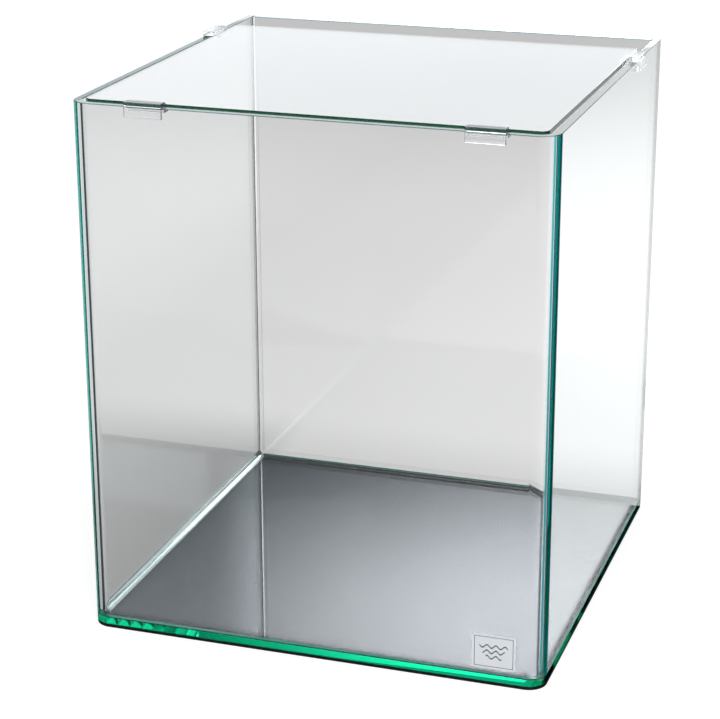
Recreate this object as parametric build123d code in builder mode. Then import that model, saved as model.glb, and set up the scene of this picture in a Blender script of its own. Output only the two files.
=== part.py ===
"""Nano aquarium: a small glued glass tank with a bent front, a loose cover and four cover clips.

The origin is the centre of the tank's footprint on the underside of the foam mat.
+X is to the right along the front, +Y goes to the back and +Z is up, so the front faces -Y.
All sizes are in millimetres.
"""
from build123d import *
import os

# Tank
tank_width = 300.0
tank_depth = 300.0
rim_height = 345.0
wall_glass = 5.0
bottom_glass = 5.0
corner_radius = 12.0
ground_edge = 0.4
plate_edge = 0.8

# Foam mat under the bottom plate, cut a hair smaller than the plate
mat_thickness = 2.0
mat_inset = 0.15

# Silicone joints: the film between two panes, and the beads drawn into the inner corners
joint_film = 0.6
base_bead = 4.5
rear_bead = 6.0
upright_bead = 4.0
bead_edge = 0.4
bead_hollow = 0.6

# Loose cover glass, which lies inside the rim and stops short of the rear pane
cover_thickness = 3.0
cover_gap = 2.4
cover_rise = 1.0
cover_corner = 5.0
service_gap = 36.6

# Clear clip that straddles the rim and carries the cover on an inner ledge
clip_width = 24.0
clip_play = 0.15
clip_top = 3.0
clip_outer_leg = 1.5
clip_outer_drop = 6.5
clip_toe = 0.5
clip_toe_height = 1.8
clip_inner_leg = 1.7
clip_shoulder_drop = 1.8
clip_ledge_reach = 4.5
clip_ledge_thickness = 1.5
clip_round = 1.2
clip_end_bevel = 0.3

# Middle of each front clip from its side of the tank, and of the side clips from the cover's back edge
front_left_clip_inset = 49.5
front_right_clip_inset = 41.5
side_clip_setback = 28.4

# Bare sticker on the front glass
label_width = 27.5
label_height = 23.0
label_film = 0.15
label_corner = 1.2
label_inset = 31.0
label_rise = 15.5

# Places worked out from the sizes above
half_width = tank_width / 2
front_face = -tank_depth / 2
back_face = tank_depth / 2
inner_half_width = half_width - wall_glass
inner_front = front_face + wall_glass
inner_back = back_face - wall_glass
plate_top = mat_thickness + bottom_glass
wall_foot = plate_top + joint_film
wall_height = rim_height - wall_foot
inner_radius = corner_radius - wall_glass
cover_underside = rim_height + cover_rise - cover_thickness
cover_half_width = inner_half_width - cover_gap
cover_front = inner_front + cover_gap
cover_back = inner_back - service_gap
front_left_clip_x = -half_width + front_left_clip_inset
front_right_clip_x = half_width - front_right_clip_inset
side_clip_y = cover_back - side_clip_setback
label_x = half_width - label_inset
label_z = plate_top + label_rise


def front_rounded_plan(half_span, front, back, radius):
    """Plan of a sheet whose two front corners are rounded and whose back corners are square."""
    with BuildSketch(Plane.XY) as plan:
        with Locations((0, (front + back) / 2)):
            Rectangle(2 * half_span, back - front)
        fillet(plan.vertices().group_by(Axis.Y)[0], radius=radius)
    return plan.sketch


def bead_section(leg):
    """Section of a silicone bead in a right corner: both legs lie on panes, its face is hollow."""
    with BuildSketch(Plane.XY) as section:
        with BuildLine():
            Polyline((bead_edge, leg), (0, leg), (0, 0), (leg, 0), (leg, bead_edge))
            SagittaArc((leg, bead_edge), (bead_edge, leg), -bead_hollow)
        make_face()
    return section.sketch


def clip_section():
    """Face of the clip's section: X is inward from the outer glass face, Y is up from the rim."""
    outer_face = -clip_play - clip_outer_leg
    inner_face = wall_glass + clip_play + clip_inner_leg
    ledge_top = cover_rise - cover_thickness
    ledge_under = ledge_top - clip_ledge_thickness
    ledge_tip = inner_face + clip_ledge_reach
    toe_top = clip_toe_height - clip_outer_drop
    toe_middle = clip_toe_height / 2 - clip_outer_drop
    with BuildSketch(Plane.XY) as section:
        with BuildLine():
            Polyline(
                (outer_face, toe_top),
                (outer_face, clip_top),
                (wall_glass, clip_top),
                (inner_face, clip_top - clip_shoulder_drop),
                (inner_face, ledge_top),
                (ledge_tip, ledge_top),
                (ledge_tip, ledge_under),
                (wall_glass + clip_play, ledge_under),
                (wall_glass + clip_play, 0),
                (-clip_play, 0),
                (-clip_play, -clip_outer_drop),
                (outer_face, -clip_outer_drop),
            )
            ThreePointArc(
                (outer_face, -clip_outer_drop),
                (outer_face - clip_toe, toe_middle),
                (outer_face, toe_top),
            )
        make_face()
        top_corner = section.vertices().group_by(Axis.Y)[-1].sort_by(Axis.X)[0]
        fillet(top_corner, radius=clip_round)
    return section.sketch


def write_piece(piece, name):
    """Label a finished piece and write it under its own name."""
    piece.label = name
    export_step(piece, f"parts/{name}.step")


os.makedirs("parts", exist_ok=True)

outer_plan = front_rounded_plan(half_width, front_face, back_face, corner_radius)
# The inner plan runs on past the back so that the bent sheet is open there
inner_plan = front_rounded_plan(inner_half_width, inner_front, back_face + wall_glass, inner_radius)

# Bent sheet: the front and both sides in one piece, its rim edges ground
with BuildPart() as bent_glass_wall:
    with BuildSketch(Plane.XY.offset(wall_foot)):
        add(outer_plan)
        add(inner_plan, mode=Mode.SUBTRACT)
    extrude(amount=wall_height)
    rim_edges = bent_glass_wall.faces().sort_by(Axis.Z)[-1].edges()
    chamfer(rim_edges, length=ground_edge)
write_piece(bent_glass_wall.part, "bent_glass_wall")

# Rear pane, set between the two sides with a film of silicone at each end
rear_pane_width = 2 * (inner_half_width - joint_film)
with BuildPart() as rear_pane:
    with BuildSketch(Plane.XY.offset(wall_foot)):
        with Locations((0, (inner_back + back_face) / 2)):
            Rectangle(rear_pane_width, wall_glass)
    extrude(amount=wall_height)
    rim_edges = rear_pane.faces().sort_by(Axis.Z)[-1].edges().filter_by(Axis.X)
    chamfer(rim_edges, length=ground_edge)
write_piece(rear_pane.part, "rear_pane")

# Bottom plate under all the walls, flush with their outer faces
with BuildPart() as bottom_plate:
    with BuildSketch(Plane.XY.offset(mat_thickness)):
        add(outer_plan)
    extrude(amount=bottom_glass)
    ground = bottom_plate.faces().sort_by(Axis.Z)[0].edges()
    chamfer(ground, length=plate_edge)
write_piece(bottom_plate.part, "bottom_plate")

# Foam mat
with BuildPart() as foam_mat:
    with BuildSketch(Plane.XY):
        add(
            front_rounded_plan(
                half_width - mat_inset,
                front_face + mat_inset,
                back_face - mat_inset,
                corner_radius - mat_inset,
            )
        )
    extrude(amount=mat_thickness)
write_piece(foam_mat.part, "foam_mat")

# Silicone under the bent wall, and its bead round the inner foot of that wall
with BuildPart() as wall_base_seam:
    with BuildSketch(Plane.XY.offset(plate_top)):
        add(outer_plan)
        add(inner_plan, mode=Mode.SUBTRACT)
    extrude(amount=joint_film)
    with BuildLine() as bead_path:
        FilletPolyline(
            (-inner_half_width, inner_back, plate_top),
            (-inner_half_width, inner_front, plate_top),
            (inner_half_width, inner_front, plate_top),
            (inner_half_width, inner_back, plate_top),
            radius=inner_radius,
        )
    with BuildSketch(Plane(origin=bead_path.line @ 0, x_dir=(1, 0, 0), z_dir=(0, -1, 0))):
        add(bead_section(base_bead))
    sweep()
write_piece(wall_base_seam.part, "wall_base_seam")

# Silicone under the rear pane, and its bead along the pane's inner foot
with BuildPart() as rear_base_seam:
    with BuildSketch(Plane.XY.offset(plate_top)):
        with Locations((0, (inner_back + back_face) / 2)):
            Rectangle(2 * inner_half_width, wall_glass)
    extrude(amount=joint_film)
    with BuildSketch(Plane(origin=(0, inner_back, plate_top), x_dir=(0, -1, 0), z_dir=(-1, 0, 0))):
        add(bead_section(rear_bead))
    extrude(amount=inner_half_width, both=True)
    add(wall_base_seam.part, mode=Mode.SUBTRACT)
write_piece(rear_base_seam.part, "rear_base_seam")

# Upright silicone joints: the film beside the rear pane and the bead in the inner corner
upright_height = rim_height - plate_top
for side, turn, seam_name in ((-1, -90, "rear_left_seam"), (1, 180, "rear_right_seam")):
    with BuildPart() as upright_seam:
        with BuildSketch(Plane.XY.offset(plate_top)):
            with Locations((side * (inner_half_width - joint_film / 2), (inner_back + back_face) / 2)):
                Rectangle(joint_film, wall_glass)
            with Locations(Location((side * inner_half_width, inner_back), turn)):
                add(bead_section(upright_bead))
        extrude(amount=upright_height)
        add(wall_base_seam.part, mode=Mode.SUBTRACT)
        add(rear_base_seam.part, mode=Mode.SUBTRACT)
    write_piece(upright_seam.part, seam_name)

# Cover glass, lying on the clips' ledges inside the rim
with BuildPart() as cover_glass:
    with BuildSketch(Plane.XY.offset(cover_underside)):
        add(front_rounded_plan(cover_half_width, cover_front, cover_back, cover_corner))
    extrude(amount=cover_thickness)
    ground = cover_glass.faces().sort_by(Axis.Z)[-1].edges() + cover_glass.faces().sort_by(Axis.Z)[0].edges()
    chamfer(ground, length=ground_edge)
write_piece(cover_glass.part, "cover_glass")

# Clips: each has the same section, set on its own rim with X pointing into the tank
section = clip_section()
clip_planes = {
    "front_left_clip": Plane(
        origin=(front_left_clip_x, front_face, rim_height), x_dir=(0, 1, 0), z_dir=(1, 0, 0)
    ),
    "front_right_clip": Plane(
        origin=(front_right_clip_x, front_face, rim_height), x_dir=(0, 1, 0), z_dir=(1, 0, 0)
    ),
    "left_side_clip": Plane(
        origin=(-half_width, side_clip_y, rim_height), x_dir=(1, 0, 0), z_dir=(0, -1, 0)
    ),
    "right_side_clip": Plane(
        origin=(half_width, side_clip_y, rim_height), x_dir=(-1, 0, 0), z_dir=(0, 1, 0)
    ),
}
for clip_name, clip_plane in clip_planes.items():
    with BuildPart() as clip:
        with BuildSketch(clip_plane):
            add(section)
        extrude(amount=clip_width / 2, both=True)
        end_edges = clip.faces().filter_by(clip_plane).edges()
        crown_edges = end_edges.filter_by(lambda edge: edge.center().Z > rim_height + clip_end_bevel)
        chamfer(crown_edges, length=clip_end_bevel)
    write_piece(clip.part, clip_name)

# Bare sticker on the outer face of the front glass
with BuildPart() as label:
    with BuildSketch(Plane.XZ.offset(-front_face)):
        with Locations((label_x, label_z)):
            RectangleRounded(label_width, label_height, label_corner)
    extrude(amount=label_film)
write_piece(label.part, "label")
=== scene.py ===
import math
import bmesh
import bpy
from mathutils import Matrix, Vector


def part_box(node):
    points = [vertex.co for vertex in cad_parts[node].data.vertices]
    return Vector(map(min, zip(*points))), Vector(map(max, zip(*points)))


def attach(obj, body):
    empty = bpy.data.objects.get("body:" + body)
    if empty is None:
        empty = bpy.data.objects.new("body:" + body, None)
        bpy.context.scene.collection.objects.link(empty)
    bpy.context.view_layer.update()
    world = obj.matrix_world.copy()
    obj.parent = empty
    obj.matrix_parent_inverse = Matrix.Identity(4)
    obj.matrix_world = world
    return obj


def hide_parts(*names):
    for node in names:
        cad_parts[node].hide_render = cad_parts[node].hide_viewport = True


# Nano aquarium, dressed around its frame
# All lengths are in metres: +X is to the right along the front, +Y goes to the back, +Z is up
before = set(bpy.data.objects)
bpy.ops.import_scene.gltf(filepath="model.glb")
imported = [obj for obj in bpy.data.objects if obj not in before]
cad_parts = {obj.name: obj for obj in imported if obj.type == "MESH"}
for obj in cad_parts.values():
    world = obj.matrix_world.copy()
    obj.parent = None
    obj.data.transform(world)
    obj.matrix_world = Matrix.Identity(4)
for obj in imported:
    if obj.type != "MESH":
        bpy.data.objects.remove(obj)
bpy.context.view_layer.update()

MM = 0.001

# Places read from the frame
wall_low, wall_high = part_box("bent_glass_wall")
rear_low, rear_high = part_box("rear_pane")
mat_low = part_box("foam_mat")[0]
label_low, label_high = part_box("label")
clip_low, clip_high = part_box("front_left_clip")
rim = wall_high.z
glass_thickness = rear_high.y - rear_low.y
half_width = wall_high.x
inner_half = half_width - glass_thickness
front_face = wall_low.y
inner_front = front_face + glass_thickness
plate_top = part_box("bottom_plate")[1].z
wall_foot = wall_low.z
clip_width = clip_high.x - clip_low.x
label_middle = (label_low + label_high) / 2
label_half_width = (label_high.x - label_low.x) / 2
label_half_height = (label_high.z - label_low.z) / 2

# Sizes of the detail that the frame does not give
corner_radius = 12 * MM
inner_radius = corner_radius - glass_thickness
cover_corner = 5 * MM
ground_edge = 0.4 * MM
plate_edge = 0.8 * MM
plate_top_edge = 0.1 * MM
foam_edge = 0.3 * MM
base_bead = 4.5 * MM
rear_bead = 6.0 * MM
upright_bead = 4.0 * MM
joint_film = 0.6 * MM
bead_edge = 0.4 * MM
bead_hollow = 0.6 * MM
film_inset = 0.1 * MM
upright_head_inset = 0.3 * MM
clip_edge = 0.25 * MM
sticker_corner = 1.2 * MM
sticker_film = 0.1 * MM
sticker_gap = 0.02 * MM
arc_steps = 40
bead_steps = 8
ease_steps = 4
sharp_angle = math.radians(40)

# Glass and its neighbours keep a hair of air between them, so light meets one surface at a time
air_gap = 0.05 * MM

# Clip section: inward from the outer glass face and up from the rim, ending with the rounded toe
clip_section = [
    (-1.65 * MM, 3.0 * MM),
    (5.0 * MM, 3.0 * MM),
    (6.85 * MM, 1.2 * MM),
    (6.85 * MM, -2.0 * MM),
    (11.35 * MM, -2.0 * MM),
    (11.35 * MM, -3.5 * MM),
    (5.15 * MM, -3.5 * MM),
    (5.15 * MM, air_gap),
    (-0.15 * MM, air_gap),
    (-0.15 * MM, -6.5 * MM),
    (-1.65 * MM, -6.5 * MM),
    (-2.0 * MM, -6.1 * MM),
    (-2.15 * MM, -5.6 * MM),
    (-2.0 * MM, -5.1 * MM),
    (-1.65 * MM, -4.7 * MM),
]

# How strongly each clear material bends light
glass_ior = 1.52
plastic_ior = 1.49
silicone_ior = 1.41

# Colours
# White of the silicone beads, shown as painted highlight lines where their cover rises at the edges
white = (0.95, 0.97, 0.97)
# Near black: the dark film in the upright joints, and painted shade on the rear bead's lower part
joint_black_and_painted_shade = (0.010, 0.013, 0.018)
deep_green = (0.008, 0.075, 0.055)
# Painted glow: bright emerald on the wetted wall foot
painted_glow_green = (0.0, 0.62, 0.42)
# Painted shade: dark teal on the rim's eased edges and on the left rim's flat
rim_painted_shade = (0.06, 0.24, 0.27)
rim_pale = (0.80, 0.82, 0.83)
bead_clear = (0.86, 1.0, 0.96)
# Greys painted as shade on the upright beads next to the pane
bead_painted_shade = (0.30, 0.33, 0.33)
bead_painted_half_shade = (0.40, 0.43, 0.43)
foam_black = (0.006, 0.006, 0.007)
foam_grey = (0.020, 0.020, 0.022)
plastic_clear = (0.985, 0.99, 0.995)
# Painted shade for the cut ends of the front clips
plastic_end_painted_shade = (0.07, 0.055, 0.09)
sticker_pale = (0.84, 0.88, 0.93)
sticker_ink = (0.020, 0.045, 0.050)


# Mesh helpers
def new_piece(name, mesh, body):
    """Links a mesh under its name and lets it ride on a body."""
    piece = bpy.data.objects.new(name, mesh)
    bpy.context.scene.collection.objects.link(piece)
    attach(piece, body)
    return piece


def dress(piece, material, node=None):
    """Gives a piece its material and hides the node it stands for."""
    piece.data.materials.append(material)
    if node:
        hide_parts(node)


def arc(centre, radius, start, end, steps=arc_steps):
    """Points round an arc, angles in degrees."""
    points = []
    for step in range(steps + 1):
        angle = math.radians(start + (end - start) * step / steps)
        points.append((centre[0] + radius * math.cos(angle), centre[1] + radius * math.sin(angle)))
    return points


def front_path(half, front, back, radius):
    """Plan line from the back left, round the two front corners, to the back right."""
    left = arc((-half + radius, front + radius), radius, 180, 270)
    right = arc((half - radius, front + radius), radius, 270, 360)
    return [(-half, back)] + left + right + [(half, back)]


def at_height(plan, height):
    """Ring of points: a plan outline at one height."""
    return [(x, y, height) for x, y in plan]


def loft(name, rings):
    """Closed mesh through rings of points, with a flat end on the first and the last ring."""
    sheet = bmesh.new()
    loops = [[sheet.verts.new(point) for point in ring] for ring in rings]
    count = len(loops[0])
    for near, far in zip(loops, loops[1:]):
        for step in range(count):
            after = (step + 1) % count
            sheet.faces.new((near[step], near[after], far[after], far[step]))
    sheet.faces.new(loops[0])
    sheet.faces.new(loops[-1])
    bmesh.ops.recalc_face_normals(sheet, faces=sheet.faces)
    mesh = bpy.data.meshes.new(name)
    sheet.to_mesh(mesh)
    sheet.free()
    return mesh


def prism(name, outline, low, high):
    """Closed mesh of a plan outline raised from one level to another."""
    return loft(name, [at_height(outline, low), at_height(outline, high)])


def eased_end(plan_at, level, edge, upper):
    """Rings of a rounded edge, from low to high; plan_at gives the plan drawn in by an inset."""
    rings = []
    steps = range(ease_steps, -1, -1) if upper else range(ease_steps + 1)
    for step in steps:
        angle = math.radians(90 * step / ease_steps)
        drop = edge * (1 - math.cos(angle))
        height = level - drop if upper else level + drop
        rings.append(at_height(plan_at(edge * (1 - math.sin(angle))), height))
    return rings


def add_weighted_normals(piece, keep_sharp):
    """Keeps the flat faces flat where they meet rounded edges."""
    normals = piece.modifiers.new("normals", "WEIGHTED_NORMAL")
    normals.keep_sharp = keep_sharp
    normals.weight = 100


def soften(piece):
    """Smooth shading that keeps the flat faces flat and the corners sharp."""
    piece.data.shade_smooth()
    piece.data.set_sharp_from_angle(angle=sharp_angle)
    add_weighted_normals(piece, True)


def ease_edges(piece, width, segments):
    """Rounds the sharp edges and shades the curved faces smooth."""
    piece.data.shade_smooth()
    bevel = piece.modifiers.new("eased", "BEVEL")
    bevel.width = width
    bevel.segments = segments
    bevel.limit_method = "ANGLE"
    bevel.angle_limit = sharp_angle
    add_weighted_normals(piece, False)


# Shading helpers
class Shading:
    """A node tree with short ways to add nodes and join them."""

    def __init__(self, tree):
        self.nodes = tree.nodes
        self.links = tree.links

    def put(self, value, socket):
        """Links a node's output to a socket, or sets the socket to a number."""
        if isinstance(value, bpy.types.NodeSocket):
            self.links.new(value, socket)
        else:
            socket.default_value = value

    def math(self, operation, *values):
        node = self.nodes.new("ShaderNodeMath")
        node.operation = operation
        for value, socket in zip(values, node.inputs):
            self.put(value, socket)
        return node.outputs[0]

    def product(self, first, *others):
        for other in others:
            first = self.math("MULTIPLY", first, other)
        return first

    def total(self, first, *others):
        for other in others:
            first = self.math("ADD", first, other)
        return first

    def less(self, whole, taken):
        return self.math("SUBTRACT", whole, taken)

    def unsigned(self, value):
        return self.math("ABSOLUTE", value)

    def graded(self, value, start, end, low, high, smooth=True):
        """Takes a value from one range to another and holds it at both ends."""
        node = self.nodes.new("ShaderNodeMapRange")
        node.interpolation_type = "SMOOTHSTEP" if smooth else "LINEAR"
        limits = {"From Min": start, "From Max": end, "To Min": low, "To Max": high}
        for socket_name, number in limits.items():
            self.put(number, node.inputs[socket_name])
        self.put(value, node.inputs["Value"])
        return node.outputs[0]

    def split(self, direction):
        """The X, Y and Z of the object coordinates, the outward direction or the view into the world."""
        place = self.nodes.new("ShaderNodeTexCoord")
        parts = self.nodes.new("ShaderNodeSeparateXYZ")
        self.links.new(place.outputs[direction], parts.inputs[0])
        return parts.outputs

    def axes(self):
        return self.split("Object")

    def facing(self):
        return self.split("Normal")

    def ray(self, kind):
        return self.nodes.new("ShaderNodeLightPath").outputs[kind]

    def glass_ray(self):
        """One for rays that come by way of a mirror-like surface or of glass."""
        return self.math("MAXIMUM", self.ray("Is Glossy Ray"), self.ray("Is Transmission Ray"))

    def noise(self, scale, detail, stretch=(1, 1, 1)):
        place = self.nodes.new("ShaderNodeTexCoord")
        mapping = self.nodes.new("ShaderNodeMapping")
        mapping.inputs["Scale"].default_value = stretch
        self.links.new(place.outputs["Object"], mapping.inputs["Vector"])
        node = self.nodes.new("ShaderNodeTexNoise")
        node.inputs["Scale"].default_value = scale
        node.inputs["Detail"].default_value = detail
        self.links.new(mapping.outputs["Vector"], node.inputs["Vector"])
        return node.outputs[0]

    def cells(self, scale):
        place = self.nodes.new("ShaderNodeTexCoord")
        node = self.nodes.new("ShaderNodeTexVoronoi")
        node.inputs["Scale"].default_value = scale
        self.links.new(place.outputs["Object"], node.inputs["Vector"])
        return node.outputs["Distance"]

    def bump(self, height, depth, shader):
        node = self.nodes.new("ShaderNodeBump")
        node.inputs["Distance"].default_value = depth
        self.put(height, node.inputs["Height"])
        self.links.new(node.outputs["Normal"], shader.inputs["Normal"])

    def tones(self, value, stops):
        """Colour that follows a value through stops of (place, colour)."""
        node = self.nodes.new("ShaderNodeValToRGB")
        ramp = node.color_ramp
        while len(ramp.elements) < len(stops):
            ramp.elements.new(0.5)
        for element, (place, colour) in zip(ramp.elements, stops):
            element.position = place
            element.color = (*colour, 1)
        self.put(value, node.inputs[0])
        return node.outputs["Color"]

    def blend(self, value, first, second):
        """Colour that goes from the first to the second as the value goes from nought to one."""
        return self.tones(value, [(0.0, first), (1.0, second)])

    def glow(self):
        return self.nodes.new("ShaderNodeEmission")

    def show(self, shader):
        """Makes a shader the surface."""
        self.links.new(shader.outputs[0], self.nodes["Material Output"].inputs["Surface"])


def principled(name):
    material = bpy.data.materials.new(name)
    material.use_nodes = True
    shading = Shading(material.node_tree)
    return material, shading, shading.nodes["Principled BSDF"]


# Glass, foam and plastic
def wall_ends_finish_and_painted_light(shading, shader, face_tint):
    """A wall's foot is wetted by silicone and painted bright emerald, a painted glow of the light that the
    wet joint lets through; its rim is ground and pale.

    The rim's eased edges carry a painted dark teal shade, and so does its flat along the left side.
    """
    axes = shading.axes()
    height = axes["Z"]
    # Painted glow: the wet foot is painted solid bright emerald
    foot = shading.graded(height, wall_foot + 0.1 * MM, wall_foot + 0.2 * MM, 1, 0)
    # Painted shade: the eased rim edges and the flat of the left rim take the dark teal
    eased = shading.graded(height, rim - 0.40 * MM, rim - 0.38 * MM, 0, 1)
    flat = shading.graded(height, rim - 0.03 * MM, rim - 0.01 * MM, 0, 1)
    clear_of_left_painted_shade = shading.graded(axes["X"], -inner_half, -inner_half + 0.5 * MM, 0, 1)
    stop = shading.total(shading.product(foot, 3), shading.product(flat, clear_of_left_painted_shade), eased)
    colours = [(0.0, face_tint), (1 / 3, rim_painted_shade), (2 / 3, rim_pale), (1.0, painted_glow_green)]
    shading.put(shading.tones(shading.math("DIVIDE", stop, 3), colours), shader.inputs["Base Color"])
    solid = shading.total(foot, shading.product(flat, 0.5))
    shading.put(shading.less(1.0, solid), shader.inputs["Transmission Weight"])


def glass_material(name, absorbed, density, face_tint, is_wall=False):
    """Clear float glass: its green lies in its depth, so faces are clear and edges are green."""
    material, shading, shader = principled(name)
    shader.inputs["Base Color"].default_value = (*face_tint, 1)
    shader.inputs["Transmission Weight"].default_value = 1.0
    shader.inputs["IOR"].default_value = glass_ior
    if is_wall:
        wall_ends_finish_and_painted_light(shading, shader, face_tint)
    # Ground edges are fine matt, faces are polished
    upright = shading.unsigned(shading.facing()["Z"])
    slope = shading.product(upright, shading.less(1.0, upright))
    shading.put(shading.graded(slope, 0.12, 0.22, 0.0, 0.18), shader.inputs["Roughness"])
    # Float glass is very slightly wavy
    shading.bump(shading.noise(9.0, 1.0), 0.006 * MM, shader)
    volume = shading.nodes.new("ShaderNodeVolumeAbsorption")
    volume.inputs["Color"].default_value = (*absorbed, 1)
    volume.inputs["Density"].default_value = density
    shading.links.new(volume.outputs["Volume"], shading.nodes["Material Output"].inputs["Volume"])
    return material


def foam_material():
    """Black closed-cell foam."""
    material, shading, shader = principled("foam")
    grain = shading.noise(350.0, 3.0)
    shading.put(shading.tones(grain, [(0.3, foam_black), (0.7, foam_grey)]), shader.inputs["Base Color"])
    shading.put(shading.graded(grain, 0.3, 0.7, 0.75, 0.95), shader.inputs["Roughness"])
    shader.inputs["Specular IOR Level"].default_value = 0.06
    shading.bump(shading.cells(1100.0), 0.25 * MM, shader)
    return material


def clip_material():
    """Clear moulded plastic with faint flow lines; the front clips' cut ends carry a painted dark shade,
    and the side clips' ends do not.
    """
    material, shading, shader = principled("clip_plastic")
    # Painted shade on the cut ends of the two front clips only, though all four clips are one part
    at_front = shading.graded(shading.axes()["Y"], front_face + 20 * MM, front_face + 30 * MM, 1, 0)
    sideways = shading.unsigned(shading.facing()["X"])
    painted_end_shade = shading.graded(shading.product(sideways, at_front), 0.55, 0.75, 0, 1)
    shading.put(shading.blend(painted_end_shade, plastic_clear, plastic_end_painted_shade), shader.inputs["Base Color"])
    shader.inputs["IOR"].default_value = plastic_ior
    shader.inputs["Transmission Weight"].default_value = 1.0
    flow = shading.noise(220.0, 2.0, (0.3, 0.3, 1.0))
    shading.put(shading.graded(flow, 0.35, 0.65, 0.0, 0.05), shader.inputs["Roughness"])
    shading.bump(flow, 0.02 * MM, shader)
    return material


# Silicone
def height_over_plate(leg):
    """Nought on the plate and one at the top of a bead with this leg."""
    return lambda shading: shading.graded(shading.axes()["Z"], plate_top, plate_top + leg, 0, 1, False)


def depth_from_pane(shading):
    """Nought on the inner face of either side and one at the bead's far edge."""
    away = shading.less(inner_half, shading.unsigned(shading.axes()["X"]))
    return shading.graded(away, 0.0, upright_bead, 0, 1, False)


def silicone_skin(shading, shader, smoothest, roughest, depth):
    """Smooth and slightly uneven, as a drawn bead is."""
    shader.inputs["IOR"].default_value = silicone_ior
    skin = shading.noise(160.0, 2.0)
    shading.put(shading.graded(skin, 0.3, 0.7, smoothest, roughest), shader.inputs["Roughness"])
    shading.bump(skin, depth, shader)


def silicone_material(name, value_of, tones, covers):
    """Silicone seen from near its own plane: colour and cover change across its section, as painted shade
    and painted highlight lines.
    """
    material, shading, shader = principled(name)
    value = value_of(shading)
    shading.put(shading.tones(value, tones), shader.inputs["Base Color"])
    cover_stops = [(place, (amount,) * 3) for place, amount in covers]
    shading.put(shading.tones(value, cover_stops), shader.inputs["Alpha"])
    silicone_skin(shading, shader, 0.10, 0.28, 0.05 * MM)
    return material


def even_silicone_material(name, value_of, colour, cover):
    """Silicone film of one colour."""
    return silicone_material(name, value_of, [(0.0, colour), (1.0, colour)], [(0.0, cover), (1.0, cover)])


def clear_bead_material():
    """Clear silicone bead, which shows along the left side and can't be told from the glass elsewhere."""
    material, shading, shader = principled("clear_bead")
    shader.inputs["Base Color"].default_value = (*bead_clear, 1)
    shader.inputs["Transmission Weight"].default_value = 1.0
    bead_end = base_bead - inner_half
    shown = shading.graded(shading.axes()["X"], bead_end, bead_end + 2 * MM, 1.0, 0.02)
    shading.put(shown, shader.inputs["Alpha"])
    silicone_skin(shading, shader, 0.02, 0.10, 0.03 * MM)
    return material


# Sticker
def stroke(shading, distance, width):
    """One on a printed line of this width, where the distance from its middle is small."""
    blur = 0.08 * MM
    return shading.graded(shading.unsigned(distance), width / 2 - blur, width / 2 + blur, 1, 0)


def sticker_frame(shading, across, up):
    """A thin line at one distance from the nearest edge."""
    to_side = shading.less(label_half_width, shading.unsigned(across))
    to_end = shading.less(label_half_height, shading.unsigned(up))
    to_edge = shading.math("MINIMUM", to_side, to_end)
    return stroke(shading, shading.less(to_edge, 1.6 * MM), 0.35 * MM)


def sticker_wave(shading, across, up, level, reach):
    """A sine line at one level that reaches equally far to both sides."""
    waves_per_metre = 1100.0
    swing = shading.product(shading.math("SINE", shading.product(across, waves_per_metre)), 1.0 * MM)
    distance = shading.less(shading.less(up, level), swing)
    inside = stroke(shading, across, 2 * reach)
    return shading.product(stroke(shading, distance, 0.9 * MM), inside)


def sticker_material():
    """Pale film, printed with a thin frame and three small waves."""
    material, shading, shader = principled("sticker_film")
    axes = shading.axes()
    across = shading.less(axes["X"], label_middle.x)
    up = shading.less(axes["Z"], label_middle.z)
    ink = sticker_frame(shading, across, up)
    for level, reach in ((3.6 * MM, 9.0 * MM), (0.0, 7.0 * MM), (-3.6 * MM, 5.0 * MM)):
        ink = shading.math("MAXIMUM", ink, sticker_wave(shading, across, up, level, reach))
    shading.put(shading.blend(ink, sticker_pale, sticker_ink), shader.inputs["Base Color"])
    fibre = shading.noise(900.0, 2.0)
    shading.put(shading.graded(fibre, 0.3, 0.7, 0.28, 0.42), shader.inputs["Roughness"])
    shading.bump(fibre, 0.01 * MM, shader)
    return material


# Materials
wall_glass = glass_material(
    "wall_glass", absorbed=(0.0, 0.80, 0.76), density=15.0, face_tint=(1.0, 0.939, 0.942), is_wall=True,
)
base_glass = glass_material(
    "base_glass", absorbed=(0.0, 0.88, 0.71), density=16.0, face_tint=(1.0, 0.875, 0.94),
)
cover_glass = glass_material(
    "cover_glass", absorbed=(0.0, 0.52, 0.35), density=20.0, face_tint=(1.0, 0.962, 0.974),
)
foam = foam_material()
clip_plastic = clip_material()
sticker_paint = sticker_material()
clear_bead = clear_bead_material()
# Painted shade and highlight: the lower part is near black for the black mat seen through the clear bead,
# with a faint painted highlight along the top edge
rear_silicone = silicone_material(
    "rear_silicone",
    height_over_plate(rear_bead),
    [(0.0, joint_black_and_painted_shade), (0.13, joint_black_and_painted_shade), (0.16, white), (1.0, white)],
    [(0.0, 0.92), (0.09, 0.88), (0.14, 0.05), (0.85, 0.05), (1.0, 0.12)],
)
# Painted shade in grey next to the pane, and painted highlight lines where the cover rises at the two
# edges
upright_silicone = silicone_material(
    "upright_silicone",
    depth_from_pane,
    [(0.0, bead_painted_shade), (0.2, bead_painted_half_shade), (0.3, white), (1.0, white)],
    [(0.0, 0.35), (0.10, 0.10), (0.3, 0.04), (0.85, 0.04), (1.0, 0.30)],
)
film_silicone = even_silicone_material("film_silicone", height_over_plate(joint_film), deep_green, 0.85)
upright_film_silicone = even_silicone_material("upright_film_silicone", depth_from_pane, joint_black_and_painted_shade, 0.75)


# Glass pieces
def wall_plan(inset):
    """Outline of the bent sheet, drawn in by an inset."""
    back = wall_high.y - inset
    outer = front_path(half_width - inset, front_face + inset, back, corner_radius - inset)
    inner = front_path(inner_half + inset, inner_front - inset, back, inner_radius + inset)
    return outer + list(reversed(inner))


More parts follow.
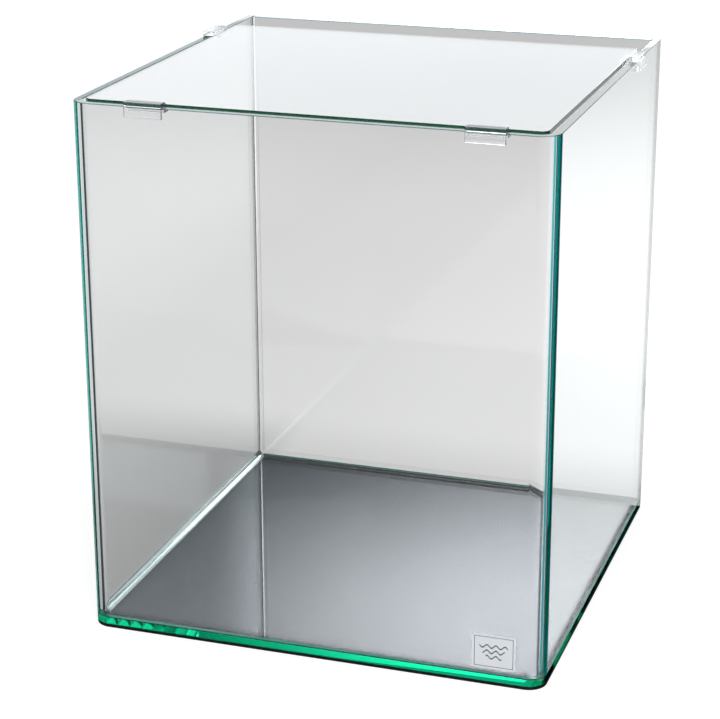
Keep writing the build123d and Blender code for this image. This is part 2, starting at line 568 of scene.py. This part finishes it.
def rear_plan(inset):
    """Outline of the flat rear pane, drawn in from its front and back face."""
    front = rear_low.y + inset
    back = rear_high.y - inset
    return [(rear_low.x, front), (rear_high.x, front), (rear_high.x, back), (rear_low.x, back)]


def build_pane(name, node, plan_at):
    """Pane at the height of its node, with a sharp foot and an eased rim."""
    low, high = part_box(node)
    rings = [at_height(plan_at(0.0), low.z + air_gap)]
    rings += eased_end(plan_at, high.z, ground_edge, True)
    piece = new_piece(name, loft(name, rings), "tank")
    soften(piece)
    dress(piece, wall_glass, node)


def build_sheet(name, node, body, material, radius, gap, low_edge, high_edge):
    """Sheet at the place of its node, with two rounded front corners and eased lower and upper edges."""
    low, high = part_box(node)

    def plan_at(inset):
        return front_path(high.x - inset, low.y + inset, high.y - inset, radius - inset)

    rings = eased_end(plan_at, low.z + gap, low_edge, False)
    rings += eased_end(plan_at, high.z, high_edge, True)
    piece = new_piece(name, loft(name, rings), body)
    soften(piece)
    dress(piece, material, node)


# Silicone joints
def bead_profile(leg):
    """Points (away from the pane, above the plate) of a bead's section, its face slightly hollow."""
    low_end = Vector((leg, bead_edge))
    high_end = Vector((bead_edge, leg))
    sag = Vector((-1, -1)).normalized() * bead_hollow
    points = [(air_gap, air_gap), (leg, air_gap)]
    for step in range(bead_steps + 1):
        share = step / bead_steps
        point = low_end.lerp(high_end, share) + sag * 4 * share * (1 - share)
        points.append((point.x, point.y))
    points.append((air_gap, leg))
    return points


def build_bead(name, mesh, material, node):
    bead = new_piece(name, mesh, "tank")
    soften(bead)
    dress(bead, material, node)


def build_film(name, outline, low, high, material):
    film = new_piece(name, prism(name, outline, low, high), "tank")
    dress(film, material)


def build_wall_joint():
    """Bead round the inner foot of the bent sheet, and the film under it."""
    rows = []
    for away, up in bead_profile(base_bead):
        path = front_path(inner_half - away, inner_front + away, rear_low.y, inner_radius - away)
        rows.append(at_height(path, plate_top + up))
    build_bead("wall_bead", loft("wall_bead", list(zip(*rows))), clear_bead, "wall_base_seam")
    film_half = half_width - film_inset
    film_back = wall_high.y - film_inset
    outer = front_path(film_half, front_face + film_inset, film_back, corner_radius - film_inset)
    inner = front_path(inner_half, inner_front, film_back, inner_radius)
    build_film("wall_film", outer + list(reversed(inner)), plate_top + air_gap, wall_foot, film_silicone)


def build_rear_joint():
    """Bead along the inner foot of the rear pane, and the film under it."""
    bead_end = inner_half - base_bead / 2
    rings = []
    for x in (-bead_end, bead_end):
        rings.append([(x, rear_low.y - away, plate_top + up) for away, up in bead_profile(rear_bead)])
    build_bead("rear_bead", loft("rear_bead", rings), rear_silicone, "rear_base_seam")
    end = inner_half - air_gap
    front = rear_low.y
    back = rear_high.y - film_inset
    outline = [(-end, front), (end, front), (end, back), (-end, back)]
    build_film("rear_film", outline, plate_top + air_gap, wall_foot, film_silicone)


def build_upright_joint(side, name, node):
    """Bead in the inner corner beside the rear pane, and the film between that pane and the side."""
    head = rim - upright_head_inset
    outline = []
    for away, forward in bead_profile(upright_bead):
        outline.append((side * (inner_half - away), rear_low.y - forward))
    bead_mesh = prism(name + "_bead", outline, plate_top + base_bead, head)
    build_bead(name + "_bead", bead_mesh, upright_silicone, node)
    near = side * (inner_half - air_gap)
    far = side * (rear_high.x + air_gap)
    front = rear_low.y
    back = rear_high.y - film_inset
    outline = [(near, front), (far, front), (far, back), (near, back)]
    build_film(name + "_film", outline, wall_foot, head, upright_film_silicone)


# Clips
def build_clip(name, node, inward):
    """Clip at the place of its node, its ledge pointing inward."""
    low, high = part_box(node)
    middle = (low + high) / 2
    along = Vector((-inward.y, inward.x, 0))
    if inward.x:
        rim_place = Vector((-inward.x * half_width, middle.y, rim))
    else:
        rim_place = Vector((middle.x, front_face, rim))
    rings = []
    for share in (-0.5, 0.5):
        start = rim_place + along * clip_width * share
        rings.append([start + inward * x + Vector((0, 0, z)) for x, z in clip_section])
    piece = new_piece(name, loft(name, rings), node)
    ease_edges(piece, clip_edge, 2)
    dress(piece, clip_plastic, node)


# Sticker
def build_sticker():
    """Thin film with rounded corners on the outer face of the front glass."""
    corner_x = label_half_width - sticker_corner
    corner_z = label_half_height - sticker_corner
    outline = []
    for across, up, start in ((1, 1, 0), (-1, 1, 90), (-1, -1, 180), (1, -1, 270)):
        outline += arc((across * corner_x, up * corner_z), sticker_corner, start, start + 90, 8)
    back = label_high.y - sticker_gap
    rings = []
    for level in (back, back - sticker_film):
        rings.append([(label_middle.x + x, level, label_middle.z + z) for x, z in outline])
    piece = new_piece("sticker", loft("sticker", rings), "tank")
    dress(piece, sticker_paint, "label")


# Build the pieces
mat_radius = corner_radius - (mat_low.x - wall_low.x)
build_pane("glass_wall", "bent_glass_wall", wall_plan)
build_pane("rear_glass", "rear_pane", rear_plan)
build_sheet(
    "base_glass", "bottom_plate", "tank", base_glass,
    corner_radius, air_gap, plate_edge, plate_top_edge,
)
build_sheet(
    "cover_sheet", "cover_glass", "cover", cover_glass,
    cover_corner, air_gap, ground_edge, ground_edge,
)
build_sheet("mat_foam", "foam_mat", "tank", foam, mat_radius, 0.0, foam_edge, foam_edge)
build_wall_joint()
build_rear_joint()
build_upright_joint(-1, "left_upright", "rear_left_seam")
build_upright_joint(1, "right_upright", "rear_right_seam")
build_clip("front_left_holder", "front_left_clip", Vector((0, 1, 0)))
build_clip("front_right_holder", "front_right_clip", Vector((0, 1, 0)))
build_clip("left_side_holder", "left_side_clip", Vector((1, 0, 0)))
build_clip("right_side_holder", "right_side_clip", Vector((-1, 0, 0)))
build_sticker()


# Camera
def place_camera(place, azimuth, pitch, roll, lens):
    """Camera that looks along +Y turned by the azimuth and tilted down by the pitch, angles in radians."""
    camera_data = bpy.data.cameras.new("camera")
    camera_data.lens = lens
    camera_data.sensor_width = 36
    camera = bpy.data.objects.new("camera", camera_data)
    bpy.context.scene.collection.objects.link(camera)
    camera.location = place
    level = math.cos(pitch)
    forward = Vector((-math.sin(azimuth) * level, math.cos(azimuth) * level, -math.sin(pitch)))
    upright = forward.to_track_quat("-Z", "Y")
    camera.rotation_mode = "QUATERNION"
    camera.rotation_quaternion = upright @ Matrix.Rotation(-roll, 4, "Z").to_quaternion()
    bpy.context.scene.camera = camera


def set_light_paths():
    """Light runs a long way inside the glass sheets before it leaves at an edge."""
    cycles = bpy.context.scene.cycles
    cycles.max_bounces = 48
    cycles.glossy_bounces = 48
    cycles.transmission_bounces = 48
    cycles.transparent_max_bounces = 24
    cycles.diffuse_bounces = 3


# Studio
floor_reach = 12.0
floor_grey = (0.50, 0.50, 0.50)
floor_to_eye = 0.68
# Teal of a painted glow on the floor seen in glass
painted_glow_teal = (0.02, 0.34, 0.39)
fan_blur = math.radians(3)
card_left = -0.75
card_right = 0.35
card_place = 0.70
card_low = 0.245
card_high = 0.62
card_colour = (0.96, 0.99, 1.04)
ceiling_blue = (0.45, 0.80, 1.0)


def staged_sheet(name, corners, material):
    """A flat piece of the studio, which is not part of the object."""
    mesh = bpy.data.meshes.new(name)
    mesh.from_pydata(corners, [], [(0, 1, 2, 3)])
    sheet = bpy.data.objects.new(name, mesh)
    bpy.context.scene.collection.objects.link(sheet)
    mesh.materials.append(material)
    return sheet


def painted_fan(shading, x, y, side, start, end):
    """One inside a fan of floor that opens from a front corner, between two bearings in degrees; painted
    shade and painted glow on the floor seen in glass follow it.
    """
    corner_x = half_width - 1 * MM
    corner_y = front_face + 9 * MM
    away = shading.less(shading.product(x, side), corner_x)
    bearing = shading.math("ARCTAN2", shading.less(y, corner_y), away)
    first = math.radians(start)
    last = math.radians(end)
    opened = shading.graded(bearing, first - fan_blur, first + fan_blur, 0, 1)
    closed = shading.graded(bearing, last - fan_blur, last + fan_blur, 1, 0)
    return shading.product(opened, closed)


def clear_of_foot(shading, x, y):
    """Nought right beside the foot of the tank, where the floor lies in its shade."""
    in_front = shading.graded(y, front_face - 22 * MM, front_face - 17 * MM, 1, 0)
    behind = shading.graded(y, wall_high.y + 1 * MM, wall_high.y + 3 * MM, 0, 1)
    at_side = shading.graded(shading.unsigned(x), half_width + 6 * MM, half_width + 9 * MM, 0, 1)
    return shading.math("MAXIMUM", shading.math("MAXIMUM", in_front, behind), at_side)


def floor_seen_in_glass(shading):
    """How bright the floor shows in and through glass: dimmer on the left, brighter on the right."""
    axes = shading.axes()
    x = axes["X"]
    y = axes["Y"]
    base = shading.graded(x, -0.35, 0.0, 0.84, 0.97, False)
    to_right = shading.graded(x, 0.0, 0.25, 0.0, 0.40)
    to_back = shading.graded(y, 0.1, 0.7, 0.35, 1.0)
    level = shading.total(base, shading.product(to_right, to_back))
    # The tank's own shade lies to the left of its rear corner
    from_left = shading.graded(x, -0.45, -0.15, 0, 1, False)
    under_tank = shading.graded(x, -0.165, -0.13, 1, 0.40)
    near_back = shading.graded(y, 0.14, 0.27, 0.47, 0.0)
    shade = shading.product(from_left, under_tank, near_back)
    # The floor grows dimmer towards the camera and far behind
    front = shading.graded(y, -0.50, -0.15, 0.67, 1.0)
    far = shading.graded(y, 0.80, 1.90, 1.0, 0.70)
    # Painted shade: the floor seen in glass is painted dark in a fan off the left front corner
    painted_shade_fan = painted_fan(shading, x, y, -1, -30, 14)
    clear = clear_of_foot(shading, x, y)
    lit = shading.product(level, shading.less(1.0, shade), front, far)
    return shading.product(lit, shading.less(1.0, painted_shade_fan), clear)


def build_floor():
    """Pale floor that takes the shadow, and shows in glass with painted light and shade: a brightness set
    by place, and a painted teal glow in a fan off the right front corner.
    """
    material, shading, shader = principled("floor_paint")
    shader.inputs["Base Color"].default_value = (*floor_grey, 1)
    shader.inputs["Roughness"].default_value = 1.0
    shader.inputs["Specular IOR Level"].default_value = 0.0
    shader.inputs["Emission Color"].default_value = (1, 1, 1, 1)
    to_eye = shading.graded(shading.ray("Is Camera Ray"), 0, 1, 0, floor_to_eye, False)
    shading.put(to_eye, shader.inputs["Emission Strength"])
    glow = shading.glow()
    shading.put(floor_seen_in_glass(shading), glow.inputs["Strength"])
    axes = shading.axes()
    # Painted glow: teal on the floor seen in glass, in a fan off the right front corner
    painted_glow_fan = painted_fan(shading, axes["X"], axes["Y"], 1, 22, 68)
    shading.put(shading.blend(painted_glow_fan, (1, 1, 1), painted_glow_teal), glow.inputs["Color"])
    choice = shading.nodes.new("ShaderNodeMixShader")
    shading.put(shading.glass_ray(), choice.inputs[0])
    shading.links.new(shader.outputs[0], choice.inputs[1])
    shading.links.new(glow.outputs[0], choice.inputs[2])
    shading.show(choice)
    corners = [(-1, -1), (1, -1), (1, 1), (-1, 1)]
    staged_sheet("floor", [(x * floor_reach, y * floor_reach, 0) for x, y in corners], material)


def sheen_on_card(shading):
    """Strength over the card: a sheen that grows to the right and upward, and an even upper part."""
    axes = shading.axes()
    x = axes["X"]
    z = axes["Z"]
    rise = shading.graded(x, -0.50, -0.08, 0.18, 1.0)
    fall = shading.graded(x, 0.05, 0.13, 1, 0)
    lifted = shading.total(z, shading.product(x, 0.25))
    upward = shading.graded(lifted, 0.13, 0.38, 0.03, 0.95)
    low_share = shading.graded(z, 0.455, 0.463, 1, 0)
    low_part = shading.product(rise, fall, upward, 4.3, low_share)
    high_part = shading.graded(z, 0.457, 0.465, 0, 0.82)
    # A low strip at the right end lights the left end of the base plate
    strip_across = shading.graded(x, 0.12, 0.14, 0, 1.3)
    strip_up = shading.graded(z, 0.31, 0.325, 1, 0)
    return shading.total(low_part, high_part, shading.product(strip_across, strip_up))


def build_reflector():
    """Clear card behind the tank that only mirror-like surfaces and glass show, as a sheen."""
    material, shading, shader = principled("reflector")
    shading.nodes.remove(shader)
    glow = shading.glow()
    glow.inputs["Color"].default_value = (*card_colour, 1)
    shading.put(sheen_on_card(shading), glow.inputs["Strength"])
    clear = shading.nodes.new("ShaderNodeBsdfTransparent")
    both = shading.nodes.new("ShaderNodeAddShader")
    shading.links.new(glow.outputs[0], both.inputs[0])
    shading.links.new(clear.outputs[0], both.inputs[1])
    shading.show(both)
    corners = [
        (card_left, card_place, card_low),
        (card_right, card_place, card_low),
        (card_right, card_place, card_high),
        (card_left, card_place, card_high),
    ]
    card = staged_sheet("reflector_card", corners, material)
    card.visible_camera = False
    card.visible_diffuse = False
    card.visible_shadow = False


def build_world():
    """White to the eye, an even dome for the light, and in glass a white horizon under a dark ceiling."""
    world = bpy.data.worlds.new("studio")
    bpy.context.scene.world = world
    world.use_nodes = True
    shading = Shading(world.node_tree)
    background = shading.nodes["Background"]
    in_glass = shading.glass_ray()
    height = shading.split("Generated")["Z"]
    tint = shading.graded(shading.product(height, in_glass), 0.26, 0.36, 0, 1)
    shading.put(shading.blend(tint, (1, 1, 1), ceiling_blue), background.inputs["Color"])
    sky = shading.graded(height, 0.05, 0.30, 1.0, 0.16)
    dome = shading.graded(shading.ray("Is Camera Ray"), 0, 1, 0.70, 1.0, False)
    beyond = shading.product(shading.less(1.0, in_glass), dome)
    shading.put(shading.total(shading.product(sky, in_glass), beyond), background.inputs["Strength"])


def soft_lamp(name, place, target, width, height, power):
    """Rectangular lamp that points at a target."""
    lamp_data = bpy.data.lights.new(name, "AREA")
    lamp_data.shape = "RECTANGLE"
    lamp_data.size = width
    lamp_data.size_y = height
    lamp_data.energy = power
    lamp = bpy.data.objects.new(name, lamp_data)
    bpy.context.scene.collection.objects.link(lamp)
    lamp.location = place
    lamp.rotation_mode = "QUATERNION"
    lamp.rotation_quaternion = (Vector(target) - Vector(place)).to_track_quat("-Z", "Y")


place_camera(
    place=(0.41434, -1.29467, 0.62573),
    azimuth=math.radians(18.388),
    pitch=math.radians(19.350),
    roll=math.radians(0.154),
    lens=107.9,
)
set_light_paths()
build_floor()
build_reflector()
build_world()
soft_lamp("key", place=(0.9, -2.0, 1.9), target=(0, 0.2, 0.1), width=1.6, height=1.6, power=30)

bpy.context.scene.view_settings.view_transform = "Standard"
